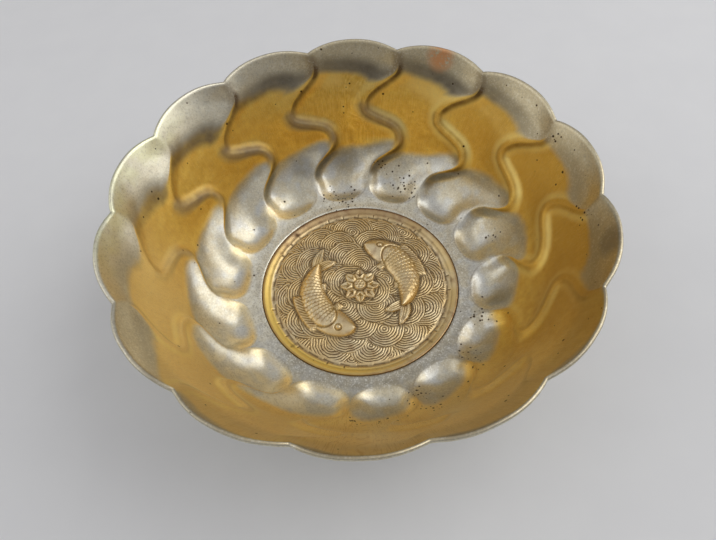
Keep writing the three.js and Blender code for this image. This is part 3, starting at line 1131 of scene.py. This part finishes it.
# %% Sizes of the relief
# The disc's own sizes are in metres, and the figures' are in millimetres.
grid_steps = 288
field_drop = 0.9 * millimetre
disc_lip = 0.5 * millimetre
disc_border = 2.1 * millimetre
field_radius = disc_radius - disc_lip - disc_border
dish_curve = 1.3
edge_round = 0.15
cut_depth = 0.14
ridge_height, ridge_width, ridge_out = 0.2, 0.4, 0.8
figure_edge = 0.25
recess_depth = 0.06
recess_blur = 12
print(f"disc: {disc_radius * 2000:.1f} mm across, its field {field_radius * 2000:.1f} mm")


# %% A square grid pulled into a circle
def round_grid():
    """Points over a disc of radius 1, row by row, with the outer rows on the circle."""
    line = np.linspace(-1, 1, grid_steps + 1)
    a, b = np.meshgrid(line, line)
    wide = np.abs(a) >= np.abs(b)
    longer = np.where(wide, a, b)
    ratio = np.where(wide, b, a) / np.where(longer == 0, 1, longer)
    turn = np.where(wide, ratio * np.pi / 4, np.pi / 2 - ratio * np.pi / 4)
    return longer * np.cos(turn), longer * np.sin(turn)


# %% Soft forms that the figures share, in millimetres
def swell(to_edge):
    """A soft swelling: 1 on its middle line and 0 from its edge on."""
    return np.maximum(1 - to_edge**2, 0) ** 0.8


def dip(distance, width):
    """1 at distance 0 and fading within about that width, for a dot or a line cut in."""
    return np.exp(-((distance / width) ** 2))


def leaf(x, y, turned, start, length, width, top, rays):
    """A pointed petal or tail blade that starts at that distance from 0 and points out."""
    along = (x * math.cos(turned) + y * math.sin(turned) - start) / length
    aside = y * math.cos(turned) - x * math.sin(turned)
    held = np.clip(along, 0, 1)
    half = 0.5 * width * np.sin(np.pi * held**0.8) ** 0.7 + 0.01
    across = np.clip(np.abs(aside) / half, 0, 1)
    cupped = 0.7 + 0.3 * across**2
    vein = np.cos(aside / half * np.pi * rays) * 0.15 if rays else -0.3 * dip(aside, 0.16)
    lift = 0.55 + 0.45 * smooth(held, 0.0, 0.5)
    within = (along > 0) & (along < 1)
    return top * lift * (cupped + vein) * (1 - smooth(across, 0.72, 1.0)) * within


# %% [markdown]
# ## Two fish and a lotus
# Fish and lotus are a common pair in cast ornament, and stand about a millimetre over their
# ground. Each figure is worked out in directions of its own, along the fish and aside of its
# middle line, or round the flower. That keeps scales, rays and petals in even rows although the
# fish bend round the disc.

# %% A fish: scales and head
fish_circle = 14.5
fish_reach = 14.7
fish_half_width = 4.4
fish_height = 1.45
scale_step = 1.15
scale_width = 1.2
scale_lift, scale_overlap, scale_sink = 0.16, 0.03, 0.1
eye_place = (0.68 * fish_reach, 1.2)
mouth_place = (1.02 * fish_reach, -0.4)


def scales(along, aside):
    """Scales lie in rows like tiles towards the tail, each row half a scale aside of the last."""
    row = np.floor(along / scale_step)
    height = np.zeros_like(along)
    for step in (2, 1, 0, -1):
        shift = np.where((row + step) % 2 == 0, 0.0, scale_width / 2)
        sideways = (aside - shift + scale_width / 2) % scale_width - scale_width / 2
        away = np.hypot(along - (row + step) * scale_step, sideways * scale_step)
        tile = scale_lift * (1 - away) + scale_overlap * (step + 1)
        height = np.where(away < 1.0, tile, height)
    return height - scale_sink


def head_marks(along, aside, share):
    """What the gill cover, the eye and the mouth add to the body's height."""
    gill = np.hypot(along - 0.3 * fish_reach, aside) - 0.26 * fish_reach
    eye = np.hypot(along - eye_place[0], aside - eye_place[1])
    mouth = np.hypot(along - mouth_place[0], aside - mouth_place[1])
    marks = 0.3 * swell(eye / 0.75) - 0.22 * dip(eye - 0.95, 0.2)
    return marks - 0.3 * dip(gill, 0.28) * (share > 0.3) - 0.5 * dip(mouth, 0.7)


# %% A fish: fins, tail and the whole
# Each fin: where it starts and ends along the fish, its root and its reach aside, which is
# negative on the belly's side, its height, and the slant and pitch of its rays.
fish_fins = [
    (-4.5, 6.0, 3.6, 2.6, 0.62, 0.9, 0.85),
    (3.0, 7.4, 3.9, -2.4, 0.6, 1.2, 0.8),
    (-8.5, -4.5, 2.4, -2.0, 0.5, 1.2, 0.8),
]
tail_root = -0.84 * fish_reach
tail_length, tail_width, tail_height = 7.8, 3.3, 0.8
tail_spread = 0.42
tail_rays = 5


def fin(along, aside, start, end, root, reach, height, slant, pitch):
    within = smooth(along, start, start + 1) * (1 - smooth(along, end - 1.6, end))
    out = (aside * np.sign(reach) - root) / np.abs(reach)
    web = height * within * (1 - smooth(out, 0.75, 1)) * smooth(out, -0.6, -0.3)
    rays = np.cos(2 * np.pi * (along + slant * out * np.abs(reach)) / pitch)
    return web * (0.8 + 0.2 * rays)


def fish(x, y, turned):
    """Height of one fish whose middle is turned round the disc by that angle."""
    radius, turn = np.hypot(x, y), np.arctan2(y, x) - turned
    turn = (turn + np.pi) % (2 * np.pi) - np.pi
    along, aside = turn * fish_circle, radius - fish_circle
    share = np.clip(along / fish_reach, -1, 1)
    half = 0.05 + fish_half_width * np.sqrt(1 - share**2) * (1 + 0.3 * share)
    body = fish_height * swell(aside / half)
    scaled = smooth(share, -0.8, -0.7) * (1 - smooth(share, 0.44, 0.48))
    body = body + scales(along, aside) * scaled * np.clip(body, 0, 1)
    body = body + head_marks(along, aside, share)
    fins = [fin(along, aside, *sizes) for sizes in fish_fins]
    blades = [
        leaf(along - tail_root, aside, np.pi + side * tail_spread, 0.0, tail_length, tail_width,
             tail_height, tail_rays)
        for side in (-1, 1)
    ]
    return np.maximum.reduce([body, *fins, *blades])


# %% The lotus
# Each ring of petals: its start, length, width and height, and its turn in petals.
petal_rings = [(2.6, 3.2, 3.1, 0.75, 0.0), (1.3, 3.1, 2.5, 1.1, 0.5)]
petal_count = 8
pod_height = 1.35
pod_radius = 1.95
pod_round = 0.4
seed_circle = 1.0
seed_size, seed_depth = 0.26, 0.22
seed_count = 6


def lotus(x, y):
    """Two rings of petals round a seed pod."""
    height = np.zeros_like(x)
    for start, length, width, top, shift in petal_rings:
        for petal in range(petal_count):
            turned = 2 * np.pi * (petal + shift) / petal_count
            height = np.maximum(height, leaf(x, y, turned, start, length, width, top, 0))
    radius = np.hypot(x, y)
    pod = pod_height * (1 - smooth(radius, pod_radius - pod_round, pod_radius))
    for turn in np.linspace(0, 2 * np.pi, seed_count, endpoint=False):
        seed = np.hypot(x - seed_circle * math.cos(turn), y - seed_circle * math.sin(turn))
        pod = pod - seed_depth * dip(seed, seed_size) * (radius < pod_radius - 0.05)
    return np.maximum(height, pod - seed_depth * dip(radius, seed_size))


# %% [markdown]
# ## Waves and dashes
# The ground is filled with fans of fine lines, each cut over its neighbour, and a ring of dashes
# runs round it. Both were struck by hand, so every fan and every dash gets a little chance of
# its own, from a fixed seed.

# %% Ground of wave fans
fan_rows = 8
fan_radius = 6.2
fan_row = 4.0
fan_width = 10.5
fan_shake = 0.5


def wave_distance(x, y):
    """Distance to the middle of the wave fan that a point belongs to. Inner fans lie on top."""
    dice = np.random.default_rng(5)
    distance = np.hypot(x, y)
    for row in reversed(range(fan_rows)):
        ring = row * fan_row
        count = max(1, round(2 * np.pi * ring / fan_width))
        start = dice.uniform(0, 2 * np.pi)
        for i in range(count):
            turn = start + 2 * np.pi * i / count + dice.uniform(-0.05, 0.05)
            radius = ring + dice.uniform(-fan_shake, fan_shake)
            away = np.hypot(x - radius * math.cos(turn), y - radius * math.sin(turn))
            reach = fan_radius + dice.uniform(-fan_shake, fan_shake)
            distance = np.where(away < reach, away, distance)
    return distance


# %% The ring of engraved dashes
dash_ring_radius = 25.9
dash_count = 34
dash_width, tick_width = 0.24, 0.22
tick_share = 0.6
tick_length = 1.3


def dash_ring(radius, turn):
    """1 in a dash or tick. Each dash was struck by hand, so no two are as long or as straight."""
    dice = np.random.default_rng(8)
    reach = dice.uniform(0.32, 0.47, dash_count)
    tilt = dice.uniform(0.1, 0.9, dash_count)
    ticked = dice.uniform(0, 1, dash_count) < tick_share
    place = turn * dash_count / (2 * np.pi)
    which = np.floor(place).astype(int) % dash_count
    aside = place % 1 - 0.5
    out = radius - dash_ring_radius
    dash = 1 - smooth(np.abs(aside) - reach[which], -0.06, 0)
    dashes = dip(out - tilt[which] * aside, dash_width) * dash
    ticks = dip(aside * 2 * np.pi * dash_ring_radius / dash_count, tick_width) * ticked[which]
    ticks = ticks * smooth(out, 0, 0.2) * (1 - smooth(out, tick_length - 0.3, tick_length))
    return np.maximum(dashes, ticks)


# %% The disc's height, and what its material reads
fish_turn = 0.45


def blurred(field, times):
    for _ in range(times):
        padded = np.pad(field, 1, mode="edge")
        field = (padded[1:-1, :-2] + padded[1:-1, 2:] + padded[:-2, 1:-1] + padded[2:, 1:-1]) / 4
    return field


def disc_relief(x, y):
    """Height over the floor's level, in millimetres, and the named fields for the material."""
    radius, turn = np.hypot(x, y), np.arctan2(y, x)
    figure = np.maximum.reduce([fish(x, y, fish_turn), fish(x, y, fish_turn + np.pi), lotus(x, y)])
    inner, outer = field_radius / millimetre, (disc_radius - disc_lip) / millimetre
    slope = np.clip((radius - inner) / (outer - inner), 0, 1)
    dish = -field_drop / millimetre * (1 - slope) ** dish_curve
    cut = dash_ring(radius, turn)
    ridge = ridge_height * dip(radius - dash_ring_radius - ridge_out, ridge_width)
    edge = np.clip((radius - disc_radius / millimetre + edge_round) / edge_round, 0, 1)
    height = dish + figure + ridge - cut_depth * cut - edge_round * (1 - np.sqrt(1 - edge**2))
    return height, {
        "wave": wave_distance(x, y),
        "figure": np.clip(figure / figure_edge, 0, 1),
        "cut": cut,
        "recess": np.clip((blurred(height, recess_blur) - height) / recess_depth, 0, 1),
        "from_axis": radius,
    }


# %% The disc's mesh
def disc_mesh():
    """The relief on the round grid, with a straight edge and a flat underside."""
    unit_x, unit_y = round_grid()
    x, y = unit_x * disc_radius / millimetre, unit_y * disc_radius / millimetre
    height, fields = disc_relief(x, y)
    count = grid_steps + 1
    points = np.stack([x, y, floor_level / millimetre + height], -1).reshape(-1, 3) * millimetre
    i, j = np.meshgrid(np.arange(grid_steps), np.arange(grid_steps), indexing="ij")
    corner = (i * count + j).ravel()
    faces = np.stack([corner, corner + 1, corner + count + 1, corner + count], -1).tolist()
    rim = list(range(grid_steps))
    rim += [i * count + grid_steps for i in range(grid_steps)]
    rim += [grid_steps * count + grid_steps - j for j in range(grid_steps)]
    rim += [(grid_steps - i) * count for i in range(grid_steps)]
    bottom = points[rim].copy()
    bottom[:, 2] = floor_level - disc_thickness
    base, around = len(points), len(rim)
    for i in range(around):
        after = (i + 1) % around
        faces.append((rim[i], base + i, base + after, rim[after]))
    faces.append(tuple(range(base + around - 1, base - 1, -1)))
    mesh = bpy.data.meshes.new("disc_relief")
    mesh.from_pydata(np.concatenate([points, bottom]).tolist(), [], faces)
    store_on_points(mesh, {
        name: np.concatenate([values.ravel(), np.full(around, values[0, 0])])
        for name, values in fields.items()
    })
    return mesh


disc = new_object("disc_relief", disc_mesh())
print(f"disc: {len(disc.data.polygons)} faces")

# %% The disc's metal
line_pitch = 0.74
line_depth = 0.1 * millimetre
disc_roughness = 0.36
field_tone = (0.78, 0.58, 0.29, 1)
field_light = (0.84, 0.70, 0.44, 1)
border_gold = (1.0, 0.71, 0.19, 1)
line_dark = (0.085, 0.05, 0.024, 1)
rust_and_shade_brown = (0.25, 0.13, 0.075, 1)


def wave_ridges(net):
    """1 on the ridges of the wave lines and 0 between them. A slow wobble keeps them hand-cut."""
    wobble = (net.noise(1.6 * millimetre, 14.0) - 0.5) * 0.5
    wobble = wobble + (net.noise(5 * millimetre, 15.0) - 0.5) * 1.6
    phase = (net.attribute("wave") + wobble) * (2 * math.pi / line_pitch)
    return phase.math("SINE") * 0.5 + 0.5


def disc_finish():
    net = MaterialNet("disc_metal")
    figure, cut, recess = (net.attribute(name) for name in ("figure", "cut", "recess"))
    from_ring = net.attribute("from_axis") - dash_ring_radius
    broad = net.noise(8 * millimetre, 11.0)
    patchy = net.noise(2.0 * millimetre, 12.0, 3.0)
    fine = net.noise(0.4 * millimetre, 13.0)
    on_field = (1 - figure) * from_ring.falling(-1.0, -0.4)
    ridge = wave_ridges(net)
    groove = ridge.falling(0.12, 0.5) * on_field
    border = from_ring.rising(0.5, 1.1)
    lit_border_side = net.side("lit border")
    brown = (patchy + broad * 0.6 - 0.55).rising(0.2, 0.6) * (1 - border * lit_border_side)
    dark = (groove * 0.85).at_least(cut * 0.85).at_least(recess * (0.35 + patchy * 0.5))
    tone = net.painted(
        field_tone,
        (broad.rising(0.35, 0.7), 1, field_light),
        # Painted highlight: the border's slope is lighter gold on the lower left, where it faces
        # the light
        (border, 0.2 + lit_border_side * 0.8, border_gold),
        # Brown on the border's top and right: tarnish, and painted shade where its slope faces away
        (border * net.side("dull, shaded border"), 0.3 + patchy * 0.5, rust_and_shade_brown),
        (recess * figure, 0.5, gilt_deep),
        (brown, 0.55, rust_and_shade_brown),
        (dark.at_most(0.9), 1, line_dark),
        (net.pits(1.6 * millimetre, 0.3 * millimetre, 0.06, 0.1), 0.8, pit_brown),
        (from_ring.rising(2.4, 3.0), 0.35 + patchy * 0.5, rust_and_shade_brown),
    )
    rough = disc_roughness + dark * 0.25 + (patchy - 0.5) * 0.15 + brown * 0.15
    return net.finish(tone, rough, net.bump(ridge * on_field * 0.8 + fine * 0.12, line_depth))


disc.data.materials.append(disc_finish())
add_piece(disc, "relief_disc")
disc.data.polygons[-1].use_smooth = False

# %% [markdown]
# ## The foot and the solder
# The photograph doesn't show what the bowl stands on, so this is the usual foot of such a bowl: a
# low ring with a rounded edge, soldered on under the seat. A ring like this is spun, so its
# outline is turned about the axis in mesh code, with each corner rounded by an arc. The seam of
# solder is a second, thinner ring that bulges out beside the foot. The solder under the disc
# keeps the measured solid, because all of it that shows is a hair line.

# %% Turn an outline about the axis
turning_steps = 192


def rounded(outline, radius, steps=5):
    """The outline with each corner replaced by an arc of about that radius."""
    result = []
    count = len(outline)
    for i, corner in enumerate(outline):
        corner = Vector(corner)
        before, after = Vector(outline[i - 1]) - corner, Vector(outline[(i + 1) % count]) - corner
        reach = min(radius, 0.45 * before.length, 0.45 * after.length)
        start, end = corner + before.normalized() * reach, corner + after.normalized() * reach
        for t in np.linspace(0, 1, steps):
            result.append(start * (1 - t) ** 2 + corner * 2 * t * (1 - t) + end * t**2)
    return result


def turned_piece(name, outline, material):
    """A ring with that outline of (radius, height), turned about the axis."""
    count = len(outline)
    points = []
    for turn in np.linspace(0, 2 * np.pi, turning_steps, endpoint=False):
        for radius, level in outline:
            points.append((radius * math.cos(turn), radius * math.sin(turn), level))
    faces = []
    for step in range(turning_steps):
        here, ahead = step * count, (step + 1) % turning_steps * count
        for i in range(count):
            j = (i + 1) % count
            faces.append((here + i, ahead + i, ahead + j, here + j))
    mesh = bpy.data.meshes.new(name)
    mesh.from_pydata(points, [], faces)
    mesh.materials.append(material)
    print(f"{name}: {len(faces)} faces")
    return new_object(name, mesh)


# %% Metal of the foot and of the solder
solder_tone = (0.40, 0.38, 0.35, 1)
solder_dull = (0.22, 0.20, 0.18, 1)
foot_roughness, foot_line_depth = 0.34, 0.01 * millimetre
solder_roughness, solder_grain_depth = 0.5, 0.03 * millimetre


def foot_finish():
    net = MaterialNet("foot_metal")
    broad = net.noise(7 * millimetre, 21.0)
    patchy = net.noise(1.8 * millimetre, 22.0, 3.0)
    lines = net.streaks(12 * millimetre, 0.2 * millimetre, 23.0, 0.2)
    brown = (patchy + broad * 0.5 - 0.5).rising(0.2, 0.55)
    tone = net.painted(
        pale_tone,
        (broad.rising(0.35, 0.75), 1, pale_warm),
        (brown, 0.6, brown_dirt_and_shade),
    )
    rough = foot_roughness + brown * 0.25 + (lines - 0.5) * 0.2
    return net.finish(tone, rough, net.bump(lines * 0.6 + patchy * 0.4, foot_line_depth))


def solder_finish():
    net = MaterialNet("solder_metal")
    fine = net.noise(0.5 * millimetre, 25.0, 3.0)
    tone = net.painted(
        solder_tone,
        (net.noise(3 * millimetre, 24.0).rising(0.3, 0.7), 1, solder_dull),
        (fine.rising(0.55, 0.7), 0.5, brown_dirt_and_shade),
    )
    rough = solder_roughness + (fine - 0.5) * 0.3
    return net.finish(tone, rough, net.bump(fine, solder_grain_depth))


# %% The foot ring and its seam
foot_outer, foot_inner = 27.5 * millimetre, 24.4 * millimetre
foot_top_outer = 26 * millimetre
foot_land = 0.75 * millimetre
foot_rounding = 0.35 * millimetre
foot_outline = [
    (foot_inner, 0), (foot_outer, 0), (foot_outer, foot_land),
    (foot_top_outer, foot_height / 2 + foot_land), (foot_top_outer, foot_height),
    (foot_inner, foot_height),
]
foot = turned_piece("foot", rounded(foot_outline, foot_rounding), foot_finish())
add_piece(foot, "foot_ring")

solder_metal = solder_finish()
seam_overhang = 0.38 * millimetre
seam_rounding = 0.15 * millimetre
seam_inner, seam_outer = foot_inner - seam_overhang, foot_top_outer + seam_overhang
seam_outline = [
    (seam_inner, foot_height), (seam_outer, foot_height),
    (seam_outer, underside), (seam_inner, underside),
]
seam = turned_piece("foot_seam", rounded(seam_outline, seam_rounding), solder_metal)
add_piece(seam, "foot_solder")
disc_solder = bpy.data.objects["disc_solder"]
disc_solder.data.materials.clear()
disc_solder.data.materials.append(solder_metal)

# %% [markdown]
# ## The stage
# A pale matt floor, as paper under a bowl in a studio, holds the shadow and lets the outline read.

# %% The floor
paper_dark = (0.78, 0.78, 0.78, 1)
paper_light = (0.82, 0.82, 0.815, 1)


def floor_paint():
    material = bpy.data.materials.new("floor_paper")
    material.use_nodes = True
    net = Net(material.node_tree)
    grain = net.number("ShaderNodeTexNoise", {}, {"Scale": 400.0, "Detail": 2.0})
    tone = net.blend(grain, paper_dark, paper_light)
    shader = material.node_tree.nodes["Principled BSDF"]
    net.tree.links.new(tone, shader.inputs["Base Color"])
    shader.inputs["Roughness"].default_value = 0.9
    return material


floor_half = 3.0
quarters = ((-1, -1), (1, -1), (1, 1), (-1, 1))
floor_corners = [(x * floor_half, y * floor_half, 0) for x, y in quarters]
floor_mesh = bpy.data.meshes.new("floor")
floor_mesh.from_pydata(floor_corners, [], [(0, 1, 2, 3)])
floor_mesh.materials.append(floor_paint())
new_object("floor", floor_mesh)

# %% [markdown]
# ## The camera
# The photograph was taken from close above, from the front, with the bowl turned a little in the
# frame. The place was worked out from the fourteen rim notches: they lie on a circle of known
# radius and height, and only one camera sees them all where the photograph has them.

# %% The camera
camera_data = bpy.data.cameras.new("camera")
camera_data.lens = 29.44
camera_data.sensor_width = 36
camera_data.clip_start = 0.01
camera = new_object("camera", camera_data)
look_from = Vector((2.52, -92.50, 156.34)) * millimetre
look_at = Vector((-0.21, -3.07, 20.0)) * millimetre
roll = math.radians(3.54)
camera.location = look_from
turn = (look_at - look_from).to_track_quat("-Z", "Y")
camera.rotation_mode = "QUATERNION"
camera.rotation_quaternion = turn @ Quaternion((0, 0, 1), -roll)
bpy.context.scene.camera = camera


# %% [markdown]
# ## Light
# Metal shows what it mirrors, so the lights are placed by what the photograph's metal mirrors:
# one large soft light from the right, a weaker one from the left, and a room that is dim near
# the horizon and brighter overhead.

# %% Lights and room
def soft_light(name, turn, rise, away, width, height, radiance):
    """A panel that faces the bowl, that many degrees round from +X and up from level."""
    data = bpy.data.lights.new(name, "AREA")
    data.shape = "RECTANGLE"
    data.size, data.size_y = width, height
    data.energy = radiance * math.pi * width * height
    lamp = new_object(name, data)
    turn, rise = math.radians(turn), math.radians(rise)
    lamp.location = away * Vector((
        math.cos(turn) * math.cos(rise), math.sin(turn) * math.cos(rise), math.sin(rise),
    ))
    lamp.rotation_mode = "QUATERNION"
    lamp.rotation_quaternion = (-lamp.location).to_track_quat("-Z", "Y")


soft_light("key", turn=13, rise=40, away=0.8, width=0.64, height=0.95, radiance=1.5)
soft_light("fill", turn=180, rise=32, away=0.9, width=0.8, height=0.8, radiance=0.65)
room_low = (0.17, 0.17, 0.18, 1)
room_high = (0.54, 0.54, 0.56, 1)
world = bpy.data.worlds.new("room")
bpy.context.scene.world = world
world.use_nodes = True
room = Net(world.node_tree)
direction = room.add("ShaderNodeTexCoord").outputs["Generated"]
upward = room.split(direction)[2]
glow = room.blend(upward.rising(0.1, 0.9), room_low, room_high)
world.node_tree.links.new(glow, world.node_tree.nodes["Background"].inputs[0])
bpy.context.scene.view_settings.view_transform = "Standard"
